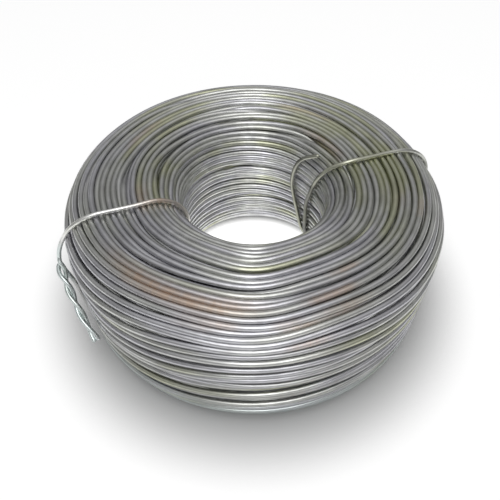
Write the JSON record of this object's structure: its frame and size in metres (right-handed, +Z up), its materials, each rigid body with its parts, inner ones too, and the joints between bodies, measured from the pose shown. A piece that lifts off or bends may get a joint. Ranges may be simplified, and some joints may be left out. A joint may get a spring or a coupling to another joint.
{
  "type": "coil of tie wire",
  "caption": "Squat round coil of galvanised steel tie wire, random wound with an open bore and bound by wire ties, for hand tying or a reel.",
  "frame": {"origin": "on the coil's axis, at the floor that its lowest turns lie on", "axes": "+Z up along the coil's axis, -Y towards the picture's camera, +X to its right, so the twisted tie is at -X and the hooked tie at +X"},
  "size_m": [0.1105, 0.1104, 0.046],
  "materials": {
    "coil_wire": "drawn and galvanised, dulled grey with a few rust-brown streaks",
    "tie_wire": "drawn and galvanised, a little browned at the bends"
  },
  "bodies": {
    "root": {"wire_coil": "coil_wire", "twisted_tie": "tie_wire", "hooked_tie": "tie_wire"}
  },
  "joints": []
}
